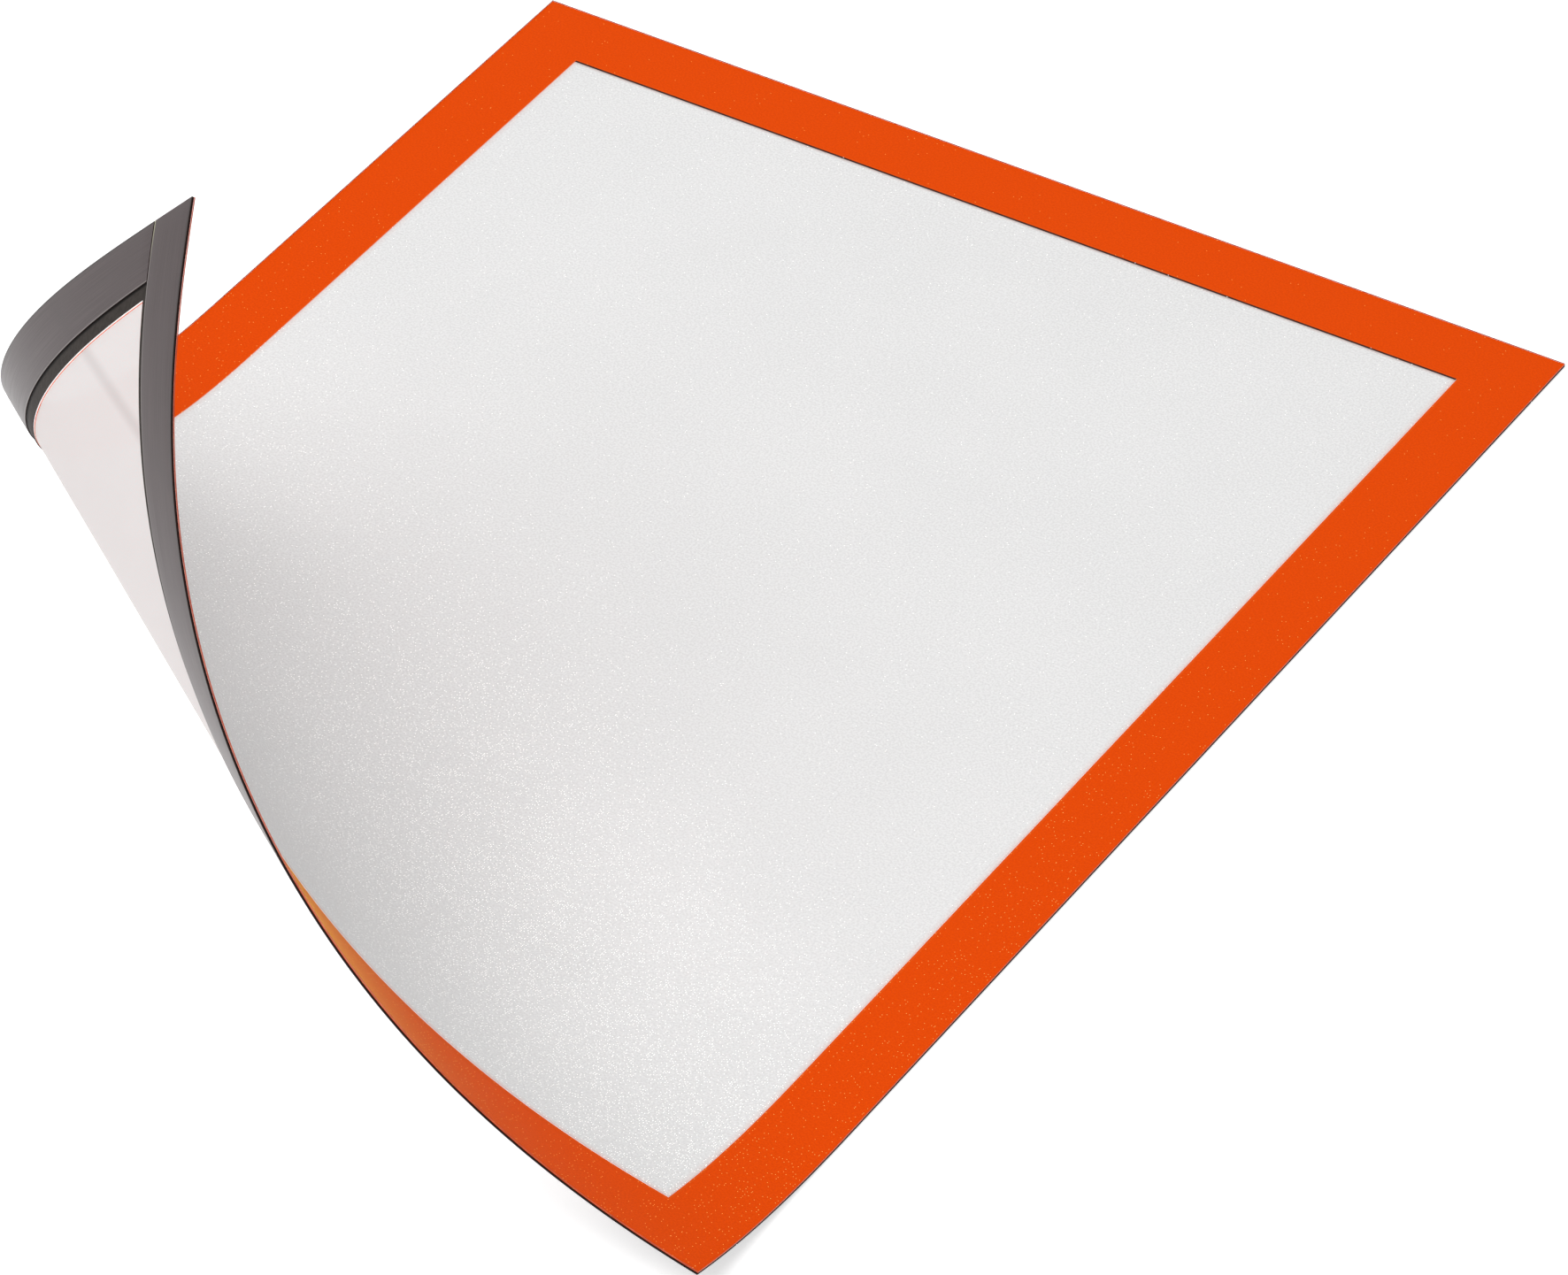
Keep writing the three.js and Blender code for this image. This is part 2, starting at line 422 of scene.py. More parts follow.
def curl_layer(name, mesh, finishes):
    """Bends a flat mesh with the curl tree and returns it as a plain object."""
    draft = bpy.data.objects.new(name + "_draft", mesh)
    bpy.context.scene.collection.objects.link(draft)
    modifier = draft.modifiers.new("curl", "NODES")
    modifier.node_group = curl_tree
    for key, value in CURL.items():
        set_input(modifier, key, value)
    set_input(modifier, "Folds", FOLDS)
    set_input(modifier, "Place", SHEET_CORNER)
    for key, finish in zip(("Front Finish", "Back Finish", "Edge Finish"), finishes):
        set_input(modifier, key, finish)
    evaluated = draft.evaluated_get(bpy.context.evaluated_depsgraph_get())
    bent = bpy.data.meshes.new_from_object(evaluated)
    draft.modifiers.remove(modifier)
    bpy.data.objects.remove(draft)
    bent.shade_smooth()
    bent.set_sharp_from_angle(angle=SHARP_ANGLE)
    piece = bpy.data.objects.new(name, bent)
    bpy.context.scene.collection.objects.link(piece)
    print("%-22s %6d faces" % (name, len(bent.polygons)))
    return piece


def stand_for(piece, node):
    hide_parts(node)
    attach(piece, "root")


# %% [markdown]
# ## Materials: places on the flat sheet
# The printed border, the clear window and the joints of the strips are places on the flat sheet.
# A material finds them from the UV map, which holds the flat place in metres. The distance to the
# window's edge, positive inside the window, is the value that most of them need.

# %% Material helpers


def new_material(name):
    material = bpy.data.materials.new(name)
    material.use_nodes = True
    tree = material.node_tree
    tree.nodes.clear()
    shader = tree.nodes.new("ShaderNodeBsdfPrincipled")
    output = tree.nodes.new("ShaderNodeOutputMaterial")
    tree.links.new(shader.outputs[0], output.inputs[0])
    return material, tree, shader


def flat_place(tree):
    """The place on the flat sheet: its vector, x and y, in metres."""
    uv = add_node(tree, "ShaderNodeUVMap", uv_map="flat").outputs[0]
    parts = add_node(tree, "ShaderNodeSeparateXYZ", {0: uv})
    return uv, parts.outputs[0], parts.outputs[1]


def distance_into_window(tree, x, y):
    half_width = SHEET_WIDTH / 2
    half_height = SHEET_HEIGHT / 2
    from_side = calc(tree, "SUBTRACT", half_width - BORDER,
                     calc(tree, "ABSOLUTE", calc(tree, "SUBTRACT", x, half_width)))
    from_end = calc(tree, "SUBTRACT", half_height - BORDER,
                    calc(tree, "ABSOLUTE", calc(tree, "SUBTRACT", y, half_height)))
    return calc(tree, "MINIMUM", from_side, from_end)


def ramp(tree, value, low, high, out_low=0.0, out_high=1.0):
    """A soft step from out_low to out_high while value goes from low to high."""
    return add_node(tree, "ShaderNodeMapRange", {
        "Value": value, "From Min": low, "From Max": high, "To Min": out_low, "To Max": out_high,
    }, interpolation_type="SMOOTHSTEP").outputs[0]


def mix_colour(tree, factor, first, second):
    node = tree.nodes.new("ShaderNodeMix")
    node.data_type = "RGBA"
    feed(tree, node.inputs["Factor"], factor)
    feed(tree, node.inputs["A"], first)
    feed(tree, node.inputs["B"], second)
    return node.outputs["Result"]


# %% [markdown]
# ## Grain, clouds and glints
# Plastic is never quite even. Noise gives the small lumps, and a soft step spreads its middle
# values over a range: the fewer values it takes, the crisper the lumps. A Voronoi pattern with a
# dot in some of its cells gives the painted glints.

# %% Noise and glints
CRISP = 0.15
SOFT = 0.2


def noise(tree, place, size, detail=2.0):
    """Noise whose lumps are about this size, in metres."""
    return add_node(tree, "ShaderNodeTexNoise", {
        "Vector": place, "Scale": 1 / size, "Detail": detail}).outputs["Fac"]


def spread(tree, value, reach, out_low=0.0, out_high=1.0):
    """Spreads the values within this reach of a noise's middle over a range."""
    return ramp(tree, value, 0.5 - reach, 0.5 + reach, out_low, out_high)


def sparkle(tree, place, spacing, share, radius):
    """Scattered tiny dots: a share of the cells of a Voronoi pattern, each lit at its middle."""
    cells = add_node(tree, "ShaderNodeTexVoronoi", {"Vector": place, "Scale": 1 / spacing},
                     voronoi_dimensions="2D")
    lot = add_node(tree, "ShaderNodeSeparateXYZ", {0: cells.outputs["Color"]}).outputs[0]
    chosen = calc(tree, "LESS_THAN", lot, share)
    dot = ramp(tree, cells.outputs["Distance"], radius / spacing, 0.5 * radius / spacing)
    return calc(tree, "MULTIPLY", chosen, dot)


def grain(tree, shader, place, size, depth):
    """A fine matt surface."""
    height = noise(tree, place, size)
    bump = add_node(tree, "ShaderNodeBump", {"Height": height, "Strength": 1.0, "Distance": depth})
    feed(tree, shader.inputs["Normal"], bump.outputs[0])


def cloudy_finish(name, size, dark, light, roughness, specular):
    """A plain finish whose colour drifts between two tones."""
    material, tree, shader = new_material(name)
    place = flat_place(tree)[0]
    cloud = spread(tree, noise(tree, place, size), SOFT)
    feed(tree, shader.inputs["Base Color"], mix_colour(tree, cloud, dark, light))
    shader.inputs["Roughness"].default_value = roughness
    shader.inputs["Specular IOR Level"].default_value = specular
    return material


# %% [markdown]
# ## Places on the sheet that several finishes need
# The band where the sheet begins to rise runs along the last fold line, so the distance that lies
# square to that line finds it. A soft band of painted shade crosses the corner at 45 degrees.

# %% Rise, crease and outline
RISE_DIRECTION = (0.527, 0.850)
RISE_STARTS = (70 * MM, 135 * MM)
RISE_ENDS = (140 * MM, 210 * MM)
CREASE_AT = 57 * MM
CREASE_WIDTH = 3.5 * MM


def rise_of_curl(tree, x, y):
    """How near a place is to the band where the sheet begins to rise, from 0 to 1."""
    along = calc(tree, "ADD", calc(tree, "MULTIPLY", x, RISE_DIRECTION[0]),
                 calc(tree, "MULTIPLY", y, RISE_DIRECTION[1]))
    before = ramp(tree, along, *RISE_STARTS)
    after = ramp(tree, along, *RISE_ENDS, 1.0, 0.0)
    return calc(tree, "MULTIPLY", before, after)


def crease_shade_band(tree, x, y, depth):
    """Painted shade: a soft darker band across the corner, at 45 degrees."""
    along = calc(tree, "ADD", x, y)
    off = calc(tree, "ABSOLUTE", calc(tree, "SUBTRACT", along, CREASE_AT))
    return ramp(tree, off, CREASE_WIDTH, 0.0, 0.0, depth)


def from_outline(tree, value, size):
    """Distance from the nearer of two opposite edges of the sheet."""
    return calc(tree, "MINIMUM", value, calc(tree, "SUBTRACT", size, value))


# %% [markdown]
# ## The clear film
# The film is clear where it lies on its print and looks milky over the open window, because its
# matt grain scatters light. So it is see-through over the border and mostly white over the window.
# Scattered light still goes on through it, so it shades what lies behind it only a little.
# At the far end of the window the film is painted with a fine dark line and a soft shade beside
# it: painted shade for the edge of the dark backing seen through it, and its painted shadow. Fine
# dots of light in the grain are painted as bright specks, since real glints this small vanish
# between the samples. They are densest where the sheet begins to rise, and denser toward the right.

# %% Film colours and grain
FILM_WHITE = (0.905, 0.92, 0.92, 1)
FILM_SHADE = (0.64, 0.64, 0.64, 1)
MILKINESS = 0.85
FILM_SHADOW = 0.15
FILM_ROUGHNESS = 0.42
FILM_SPECULAR = 0.2
WINDOW_STEP = 0.03 * MM
GRAIN_SIZE = 0.45 * MM
CLOUD_SIZE = 40 * MM
CLOUD_SHARE = 0.05
BUMP_SIZE = 0.3 * MM
FILM_BUMP = 0.02 * MM


def film_grain(tree, place, colour, contrast):
    """The film's colour with its fine grain and very soft, wide clouds."""
    fine = spread(tree, noise(tree, place, GRAIN_SIZE), CRISP, 0.0, contrast)
    wide = spread(tree, noise(tree, place, CLOUD_SIZE, detail=3.0), CRISP, 0.0, CLOUD_SHARE)
    return mix_colour(tree, calc(tree, "ADD", fine, wide), colour, FILM_SHADE)


def film_window(tree, inside):
    """1 over the open window and 0 over the border, with a sharp step between them."""
    return ramp(tree, inside, -WINDOW_STEP, WINDOW_STEP)


def set_film_surface(tree, shader, place, milk, window):
    """Alpha and gloss of the film. For rays toward a light, it is nearly clear."""
    to_light = tree.nodes.new("ShaderNodeLightPath").outputs["Is Shadow Ray"]
    milk = calc(tree, "MULTIPLY", milk, ramp(tree, to_light, 0.0, 1.0, 1.0, FILM_SHADOW))
    feed(tree, shader.inputs["Alpha"], calc(tree, "MULTIPLY", milk, window))
    shader.inputs["Roughness"].default_value = FILM_ROUGHNESS
    shader.inputs["Specular IOR Level"].default_value = FILM_SPECULAR
    grain(tree, shader, place, BUMP_SIZE, FILM_BUMP)


# %% [markdown]
# ## The front of the film
# Along the window's edge the film is painted pinker: a painted glow of the border's colour that
# scatters into the milky film. The painted specks and the painted dark far line are opaque, and
# the rest of the window lets a little of the floor show.

# %% Front of the film
PAINTED_GLOW_PINK = (0.80, 0.52, 0.46, 1)
BLUSH_WIDTH = 1.6 * MM
BLUSH_SHARE = 0.3
RIM_BLUSH_WIDTHS = (0.35 * MM, 0.15 * MM)
RIM_BLUSH_SHARE = 0.7
# Painted shade: the dark far line, and the reddish painted shadow beside it.
FAR_SHADE_BROWN = (0.035, 0.008, 0.004, 1)
FAR_SHADOW_RED = (0.30, 0.07, 0.04, 1)
LINE_WIDTH = 0.5 * MM
LINE_SHADE = 1.3 * MM
LINE_SHADE_SHARE = 0.35
# Painted glints: bright specks that glow a little.
SPECK_WHITE = (1.0, 1.0, 0.98, 1)
SPECK_SPACING = 0.45 * MM
SPECK_RADIUS = 0.11 * MM
PAINTED_SPECK_GLOW = 0.6
FEWEST_SPECKS = 0.012
MORE_SPECKS = (0.06, 0.26)
MORE_FROM_LEFT = (50 * MM, 150 * MM)
FRONT_GRAIN = 0.45


def painted_border_glow(tree, inside):
    """Share of the painted glow of the border's colour at this distance into the window."""
    wide = ramp(tree, inside, BLUSH_WIDTH, 0.0, 0.0, BLUSH_SHARE)
    rim = ramp(tree, inside, *RIM_BLUSH_WIDTHS, 0.0, RIM_BLUSH_SHARE)
    return calc(tree, "MAXIMUM", wide, rim)


def painted_glint_specks(tree, place, x, y):
    """Painted glints as bright specks: few on the flat sheet, more where it rises and toward the
    right.
    """
    more = ramp(tree, x, *MORE_FROM_LEFT, *MORE_SPECKS)
    share = calc(tree, "MULTIPLY_ADD", rise_of_curl(tree, x, y), more, FEWEST_SPECKS)
    return sparkle(tree, place, SPECK_SPACING, share, SPECK_RADIUS)


def film_front_finish():
    material, tree, shader = new_material("film_front")
    place, x, y = flat_place(tree)
    inside = distance_into_window(tree, x, y)
    window = film_window(tree, inside)
    # Painted shade and painted shadow along the far end of the window.
    below_far_edge = calc(tree, "SUBTRACT", SHEET_HEIGHT - BORDER, y)
    shade = ramp(tree, below_far_edge, LINE_SHADE, LINE_WIDTH, 0.0, LINE_SHADE_SHARE)
    line = ramp(tree, below_far_edge, 1.2 * LINE_WIDTH, 0.8 * LINE_WIDTH)
    dots = calc(tree, "MULTIPLY", window, painted_glint_specks(tree, place, x, y))
    colour = film_grain(tree, place, FILM_WHITE, FRONT_GRAIN)
    colour = mix_colour(tree, painted_border_glow(tree, inside), colour, PAINTED_GLOW_PINK)
    colour = mix_colour(tree, shade, colour, FAR_SHADOW_RED)
    colour = mix_colour(tree, line, colour, FAR_SHADE_BROWN)
    feed(tree, shader.inputs["Base Color"], mix_colour(tree, dots, colour, SPECK_WHITE))
    milk = calc(tree, "MAXIMUM", calc(tree, "MAXIMUM", line, dots), MILKINESS)
    set_film_surface(tree, shader, place, milk, window)
    feed(tree, shader.inputs["Emission Strength"], calc(tree, "MULTIPLY", dots, PAINTED_SPECK_GLOW))
    shader.inputs["Emission Color"].default_value = SPECK_WHITE
    return material


# %% [markdown]
# ## The back and the cut edge of the film
# The back is painted darker than the front and a little pink: painted shade, and a painted glow of
# the border's colour that scatters through the film. A soft band of painted shade crosses the
# corner. The cut edge gathers the colour of the print.

# %% Back and edge of the film
# Painted shade and painted pink glow: the back is a darker, pinker copy of the film's white.
FILM_BACK_SHADED_PINK = (0.70, 0.61, 0.60, 1)
FILM_BACK_SHADE = (0.39, 0.33, 0.33, 1)
BACK_GRAIN = 0.8
BACK_CREASE_SHADE = 0.35
CUT_RED = (0.34, 0.05, 0.02, 1)
CUT_ORANGE = (0.55, 0.10, 0.04, 1)


def film_back_finish():
    material, tree, shader = new_material("film_back")
    place, x, y = flat_place(tree)
    window = film_window(tree, distance_into_window(tree, x, y))
    colour = film_grain(tree, place, FILM_BACK_SHADED_PINK, BACK_GRAIN)
    crease = crease_shade_band(tree, x, y, BACK_CREASE_SHADE)
    feed(tree, shader.inputs["Base Color"], mix_colour(tree, crease, colour, FILM_BACK_SHADE))
    set_film_surface(tree, shader, place, MILKINESS, window)
    return material


film_edge = cloudy_finish("film_cut_edge", 4 * MM, CUT_RED, CUT_ORANGE, roughness=0.3, specular=0.5)

# %% [markdown]
# ## Make the film
# The film is one plain sheet over the whole outline, so it needs no window of its own.

# %% Film
film_base, film_high = flat_heights("front_film")
film_flat = flat_layer("film", [0, SHEET_WIDTH], [0, SHEET_HEIGHT],
                       film_base - FILM_TOP, film_high - FILM_TOP)
film = curl_layer("film", film_flat, (film_front_finish(), film_back_finish(), film_edge))
stand_for(film, "front_film")

# %% [markdown]
# ## The printed border
# The border is an even orange with the film's fine grain over it, and painted glints that glow a
# little, more of them toward the near end. It is printed on the back of the film, and a white
# layer covers it from behind, a little short of the window's edge. Seen from the back this leaves
# a thin white line with a thin orange line beside it.

# %% Front of the border
ORANGE = (0.845, 0.075, 0.0, 1)
DEEP_ORANGE = (0.74, 0.060, 0.0, 1)
RIM_ORANGE = (0.80, 0.090, 0.005, 1)
RIM_WIDTHS = (0.6 * MM, 0.4 * MM)
BORDER_CLOUD = 0.4 * MM
BORDER_CLOUD_SHARE = 0.6
BORDER_BUMP = 0.015 * MM
GLINT_ORANGE = (1.0, 0.52, 0.12, 1)
GLINT_SPACING = 0.7 * MM
GLINT_RADIUS = 0.85 * SPECK_RADIUS
PAINTED_GLINT_GLOW = 0.3
GLINT_SHARES = (0.015, 0.17)
GLINT_STRETCH = (0.9 * SHEET_HEIGHT, 0.2 * SHEET_HEIGHT)
HAZE_ORANGE = (1.0, 0.6, 0.1, 1)


def border_front_finish():
    material, tree, shader = new_material("border_front")
    place, x, y = flat_place(tree)
    outside = calc(tree, "MULTIPLY", distance_into_window(tree, x, y), -1.0)
    cloud = spread(tree, noise(tree, place, BORDER_CLOUD), CRISP, 0.0, BORDER_CLOUD_SHARE)
    colour = mix_colour(tree, cloud, ORANGE, DEEP_ORANGE)
    colour = mix_colour(tree, ramp(tree, outside, *RIM_WIDTHS), colour, RIM_ORANGE)
    # Painted glints: glowing dots on the orange, more of them toward the near end.
    share = ramp(tree, y, *GLINT_STRETCH, *GLINT_SHARES)
    dots = sparkle(tree, place, GLINT_SPACING, share, GLINT_RADIUS)
    feed(tree, shader.inputs["Base Color"], mix_colour(tree, dots, colour, GLINT_ORANGE))
    feed(tree, shader.inputs["Emission Strength"], calc(tree, "MULTIPLY", dots, PAINTED_GLINT_GLOW))
    shader.inputs["Emission Color"].default_value = GLINT_ORANGE
    shader.inputs["Roughness"].default_value = 0.5
    shader.inputs["Specular IOR Level"].default_value = 0.05
    shader.inputs["Sheen Weight"].default_value = 1.0
    shader.inputs["Sheen Tint"].default_value = HAZE_ORANGE
    shader.inputs["Sheen Roughness"].default_value = 0.25
    grain(tree, shader, place, BUMP_SIZE, BORDER_BUMP)
    return material


# %% [markdown]
# ## The back of the border
# Only a line less than a millimetre wide shows between the backing and the window's edge. The
# white of the cover layer is given a little painted glow, for the light that also reaches it
# through the film.

# %% Back of the border, and the border itself
BARE_ORANGE = (0.76, 0.11, 0.05, 1)
BARE_LINE = 0.22 * MM
PRINT_WHITE = (0.98, 0.95, 0.94, 1)
PAINTED_PRINT_GLOW = 0.3


def border_back_finish():
    material, tree, shader = new_material("border_back")
    x, y = flat_place(tree)[1:]
    covered = calc(tree, "MULTIPLY", distance_into_window(tree, x, y), -1.0)
    white = ramp(tree, covered, BARE_LINE * 0.9, BARE_LINE * 1.1)
    feed(tree, shader.inputs["Base Color"], mix_colour(tree, white, BARE_ORANGE, PRINT_WHITE))
    # Painted glow on the white line.
    feed(tree, shader.inputs["Emission Strength"], calc(tree, "MULTIPLY", white, PAINTED_PRINT_GLOW))
    shader.inputs["Emission Color"].default_value = PRINT_WHITE
    shader.inputs["Roughness"].default_value = 0.5
    return material


border_front = border_front_finish()
border_base, border_high = flat_heights("colour_border")
border_flat = frame_layer("border", BORDER, BORDER, border_base, border_high)
border = curl_layer("border", border_flat, (border_front, border_back_finish(), border_front))
stand_for(border, "colour_border")

# %% [markdown]
# ## The backing frame
# A thin dark sheet with one large window carries the magnets. It shows on the back as a matt dark
# band between the strips and the clear window.

# %% Backing
BACKING_DARK = (0.020, 0.015, 0.012, 1)
BACKING_BROWN = (0.032, 0.025, 0.021, 1)
# Painted shadow of the strips' inner edges on the backing.
STRIP_SHADOW_BLACK = (0.004, 0.003, 0.002, 1)
STRIP_SHADOW_WIDTHS = (0.7 * MM, 0.4 * MM)
BACKING_CLOUD = 1.2 * MM
BACKING_GRAIN = 0.5 * MM
BACKING_BUMP = 0.01 * MM


def painted_strip_shadow(tree, from_edge, strip_width):
    """Painted shadow: 1 at the foot of a strip, where its edge shades the backing, fading toward the
    window.
    """
    far, near = STRIP_SHADOW_WIDTHS
    return ramp(tree, from_edge, strip_width + far, strip_width + near)


def backing_finish():
    material, tree, shader = new_material("backing_dark")
    place, x, y = flat_place(tree)
    cloud = spread(tree, noise(tree, place, BACKING_CLOUD, detail=4.0), SOFT)
    colour = mix_colour(tree, cloud, BACKING_DARK, BACKING_BROWN)
    end_shade = painted_strip_shadow(tree, from_outline(tree, y, SHEET_HEIGHT), END_STRIP_WIDTH)
    side_shade = painted_strip_shadow(tree, from_outline(tree, x, SHEET_WIDTH), SIDE_STRIP_WIDTH)
    shade = calc(tree, "MAXIMUM", end_shade, side_shade)
    feed(tree, shader.inputs["Base Color"], mix_colour(tree, shade, colour, STRIP_SHADOW_BLACK))
    shader.inputs["Roughness"].default_value = 0.6
    shader.inputs["Specular IOR Level"].default_value = 0.1
    grain(tree, shader, place, BACKING_GRAIN, BACKING_BUMP)
    return material


backing_dark = backing_finish()
backing_base, backing_high = flat_heights("backing_frame")
backing_flat = frame_layer("backing", BACKING_SIDE, BACKING_END, backing_base, backing_high)
backing = curl_layer("backing", backing_flat, (backing_dark, backing_dark, backing_dark))
stand_for(backing, "backing_frame")

# %% [markdown]
# ## The magnet strips
# Flexible magnet strip is rolled, so it has a satin skin with very fine streaks along its length.
# A noise that is stretched along the strip gives these streaks to the colour and the roughness.
# The end strips run the full width, and the side strips stand between them with a fine joint.

# %% Edges and streaks of a strip
# Painted shade along the sheet's outline, and a painted highlight along each strip's inner edge.
MAGNET_EDGE_SHADE = (0.012, 0.006, 0.005, 1)
EDGE_SHADE_REACH = (0.5 * MM, 0.25 * MM)
MAGNET_EDGE_HIGHLIGHT = (0.20, 0.175, 0.165, 1)
HIGHLIGHT_REACH = (0.4 * MM, 0.15 * MM)
HIGHLIGHT_SHARE = 0.6
STREAK_WIDTH = 0.15 * MM
STREAK_LENGTH = 25 * MM


def shade_and_highlight_edges(tree, colour, across, width):
    """Paints shade on a strip along the sheet's outline and a thin painted highlight on its inner
    edge.
    """
    rim = ramp(tree, across, *EDGE_SHADE_REACH)
    highlight = ramp(tree, across, width - HIGHLIGHT_REACH[0], width - HIGHLIGHT_REACH[1], 0.0, HIGHLIGHT_SHARE)
    colour = mix_colour(tree, highlight, colour, MAGNET_EDGE_HIGHLIGHT)
    return mix_colour(tree, rim, colour, MAGNET_EDGE_SHADE)


def roller_streaks(tree, place, along_x):
    """Noise that is stretched along the strip."""
    along, across = 1 / STREAK_LENGTH, 1 / STREAK_WIDTH
    scale = (along, across, 1) if along_x else (across, along, 1)
    stretched = add_node(tree, "ShaderNodeMapping", {"Vector": place, "Scale": scale}).outputs[0]
    return noise(tree, stretched, 1.0, detail=3.0)


# %% [markdown]
# ## The joint between two strips
# Where the left strip was cut to length, it left a pale burr on the inner edge of the end strip.
# The burr is a thin line, strongest at the outline of the sheet and gone within 10 mm.

# %% Burr at the joint
BURR_OLIVE = (0.24, 0.23, 0.15, 1)
BURR_WIDTHS = (0.5 * MM, 0.3 * MM)
BURR_LENGTHS = (10 * MM, 1 * MM)


def joint_burr(tree, from_end, x):
    far, near = BURR_WIDTHS
    at_joint = ramp(tree, from_end, END_STRIP_WIDTH - far, END_STRIP_WIDTH - near)
    return calc(tree, "MULTIPLY", at_joint, ramp(tree, x, *BURR_LENGTHS))


# %% [markdown]
# ## The finish of the strips
# The streaks come first and the painted shade of the crease next. The painted shade along the
# outline, the painted highlight of the inner edge and, on an end strip, the burr lie over them. An
# end strip and a side strip differ in the way that their streaks run and in the edges that their
# shaded rims follow, so each kind gets its own material.

# %% Magnet finish
MAGNET_GREY = (0.049, 0.029, 0.030, 1)
MAGNET_DARK = (0.037, 0.022, 0.023, 1)
MAGNET_CREASE_SHADE = 0.5
MAGNET_ROUGHNESS = (0.34, 0.28)
STREAK_DEPTH = 0.004 * MM
STREAK_STRENGTH = 0.4


def magnet_finish(name, along_x):
    material, tree, shader = new_material(name)
    place, x, y = flat_place(tree)
    streaks = roller_streaks(tree, place, along_x)
    colour = mix_colour(tree, spread(tree, streaks, SOFT), MAGNET_DARK, MAGNET_GREY)
    colour = mix_colour(tree, crease_shade_band(tree, x, y, MAGNET_CREASE_SHADE), colour, MAGNET_DARK)
    if along_x:
        from_end = from_outline(tree, y, SHEET_HEIGHT)
        colour = shade_and_highlight_edges(tree, colour, from_end, END_STRIP_WIDTH)
        colour = mix_colour(tree, joint_burr(tree, from_end, x), colour, BURR_OLIVE)
    else:
        colour = shade_and_highlight_edges(tree, colour, from_outline(tree, x, SHEET_WIDTH), SIDE_STRIP_WIDTH)
    feed(tree, shader.inputs["Base Color"], colour)
    feed(tree, shader.inputs["Roughness"], spread(tree, streaks, SOFT, *MAGNET_ROUGHNESS))
    shader.inputs["Specular IOR Level"].default_value = 0.2
    bump = add_node(tree, "ShaderNodeBump", {
        "Height": streaks, "Strength": STREAK_STRENGTH, "Distance": STREAK_DEPTH})
    feed(tree, shader.inputs["Normal"], bump.outputs[0])
    return material


# %% [markdown]
# ## Make the strips
# All four strips lie on the same surface and share one thickness. The rim of their back is eased
# by a hair, because a cut edge is never quite sharp and so catches the light.

# %% Strips
EASE = 0.05 * MM
CUT_BLACK = (0.014, 0.006, 0.005, 1)
CUT_BROWN = (0.028, 0.012, 0.010, 1)
end_finish = magnet_finish("magnet_end", True)
side_finish = magnet_finish("magnet_side", False)
magnet_edge = cloudy_finish("magnet_cut_edge", 0.8 * MM, CUT_BLACK, CUT_BROWN,
                            roughness=0.6, specular=0.15)
magnet_low = -FILM_TOP
magnet_high = flat_heights("magnet_strip_top")[1] - FILM_TOP


def magnet_strip(name, xs, ys, finish):
    mesh = flat_layer(name, xs, ys, magnet_low, magnet_high, ease=EASE)
    strip = curl_layer(name, mesh, (finish, finish, magnet_edge))
    stand_for(strip, "magnet_" + name)


side_start = END_STRIP_WIDTH + STRIP_JOINT_GAP
side_rows = [side_start, SHEET_HEIGHT - side_start]
far_rows = [SHEET_HEIGHT - END_STRIP_WIDTH, SHEET_HEIGHT]
magnet_strip("strip_bottom", [0, SHEET_WIDTH], [0, END_STRIP_WIDTH], end_finish)
magnet_strip("strip_top", [0, SHEET_WIDTH], far_rows, end_finish)
magnet_strip("strip_left", [0, SIDE_STRIP_WIDTH], side_rows, side_finish)
magnet_strip("strip_right", [SHEET_WIDTH - SIDE_STRIP_WIDTH, SHEET_WIDTH], side_rows, side_finish)

# %% [markdown]
# ## The floor
# The sheet lies on a plain white floor that glows softly, so the background stays white round it.
# The floor lies a hair below the sheet, because two faces in one place would flicker.

# %% Floor
FLOOR_SIZE = 8
FLOOR_WHITE = (0.7, 0.7, 0.7, 1)
FLOOR_GLOW = 0.6
FLOOR_DEPTH = 0.05 * MM


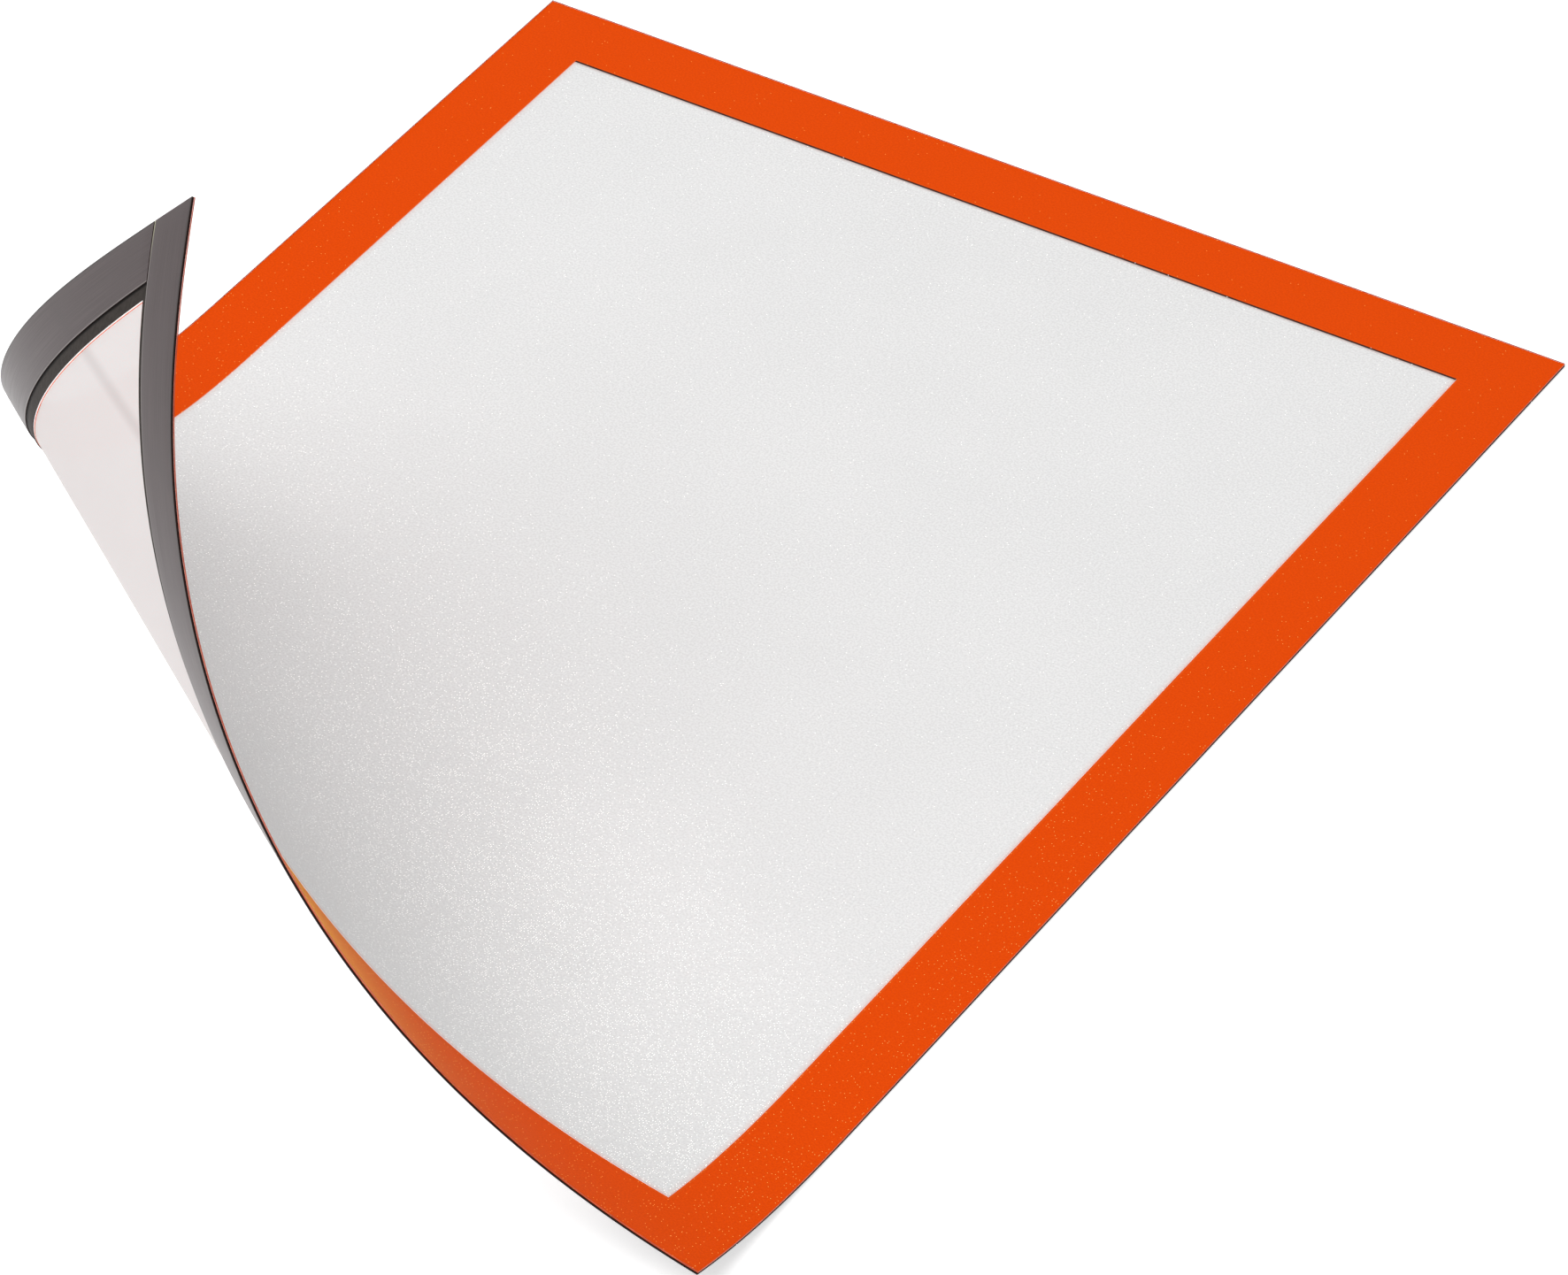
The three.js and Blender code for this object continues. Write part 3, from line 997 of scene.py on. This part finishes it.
def add_floor():
    mesh = bpy.data.meshes.new("floor")
    half = FLOOR_SIZE / 2
    corners = [(-half, -half, 0), (half, -half, 0), (half, half, 0), (-half, half, 0)]
    mesh.from_pydata(corners, [], [(0, 1, 2, 3)])
    floor = bpy.data.objects.new("floor", mesh)
    bpy.context.scene.collection.objects.link(floor)
    material, _, shader = new_material("floor_white")
    shader.inputs["Base Color"].default_value = FLOOR_WHITE
    shader.inputs["Roughness"].default_value = 0.9
    shader.inputs["Emission Color"].default_value = (1, 1, 1, 1)
    shader.inputs["Emission Strength"].default_value = FLOOR_GLOW
    mesh.materials.append(material)
    floor.location.z = -FLOOR_DEPTH


add_floor()
print("floor: %d m wide" % FLOOR_SIZE)

# %% [markdown]
# ## The light
# One large soft light stands high beyond the curled corner, so the curl's own shadow falls mostly
# out of sight. It is aimed at the far end and spreads less than a plain area light, which leaves
# the near end a little darker. An even surround fills the shade. The Standard view transform keeps
# the white and the orange as clean as in a photograph for a catalogue.

# %% Light
SURROUND = 0.395
KEY_PLACE = (-0.5, -0.7, 1.9)
KEY_AIM = (0.05, 0.3, 0)
KEY_SIZE = 2.2
KEY_POWER = 15.8
KEY_SPREAD = math.radians(100)


def add_world(strength):
    world = bpy.data.worlds.new("studio")
    world.use_nodes = True
    background = world.node_tree.nodes["Background"]
    background.inputs["Color"].default_value = (1, 1, 1, 1)
    background.inputs["Strength"].default_value = strength
    bpy.context.scene.world = world


def add_key_light():
    data = bpy.data.lights.new("key", "AREA")
    data.size = KEY_SIZE
    data.energy = KEY_POWER
    data.spread = KEY_SPREAD
    light = bpy.data.objects.new("key", data)
    light.location = KEY_PLACE
    light.rotation_euler = (Vector(KEY_AIM) - Vector(KEY_PLACE)).to_track_quat("-Z", "Y").to_euler()
    bpy.context.scene.collection.objects.link(light)


bpy.context.scene.view_settings.view_transform = "Standard"
add_world(SURROUND)
add_key_light()
print("key light: %.1f W, %.1f m wide, %.1f m high" % (KEY_POWER, KEY_SIZE, KEY_PLACE[2]))
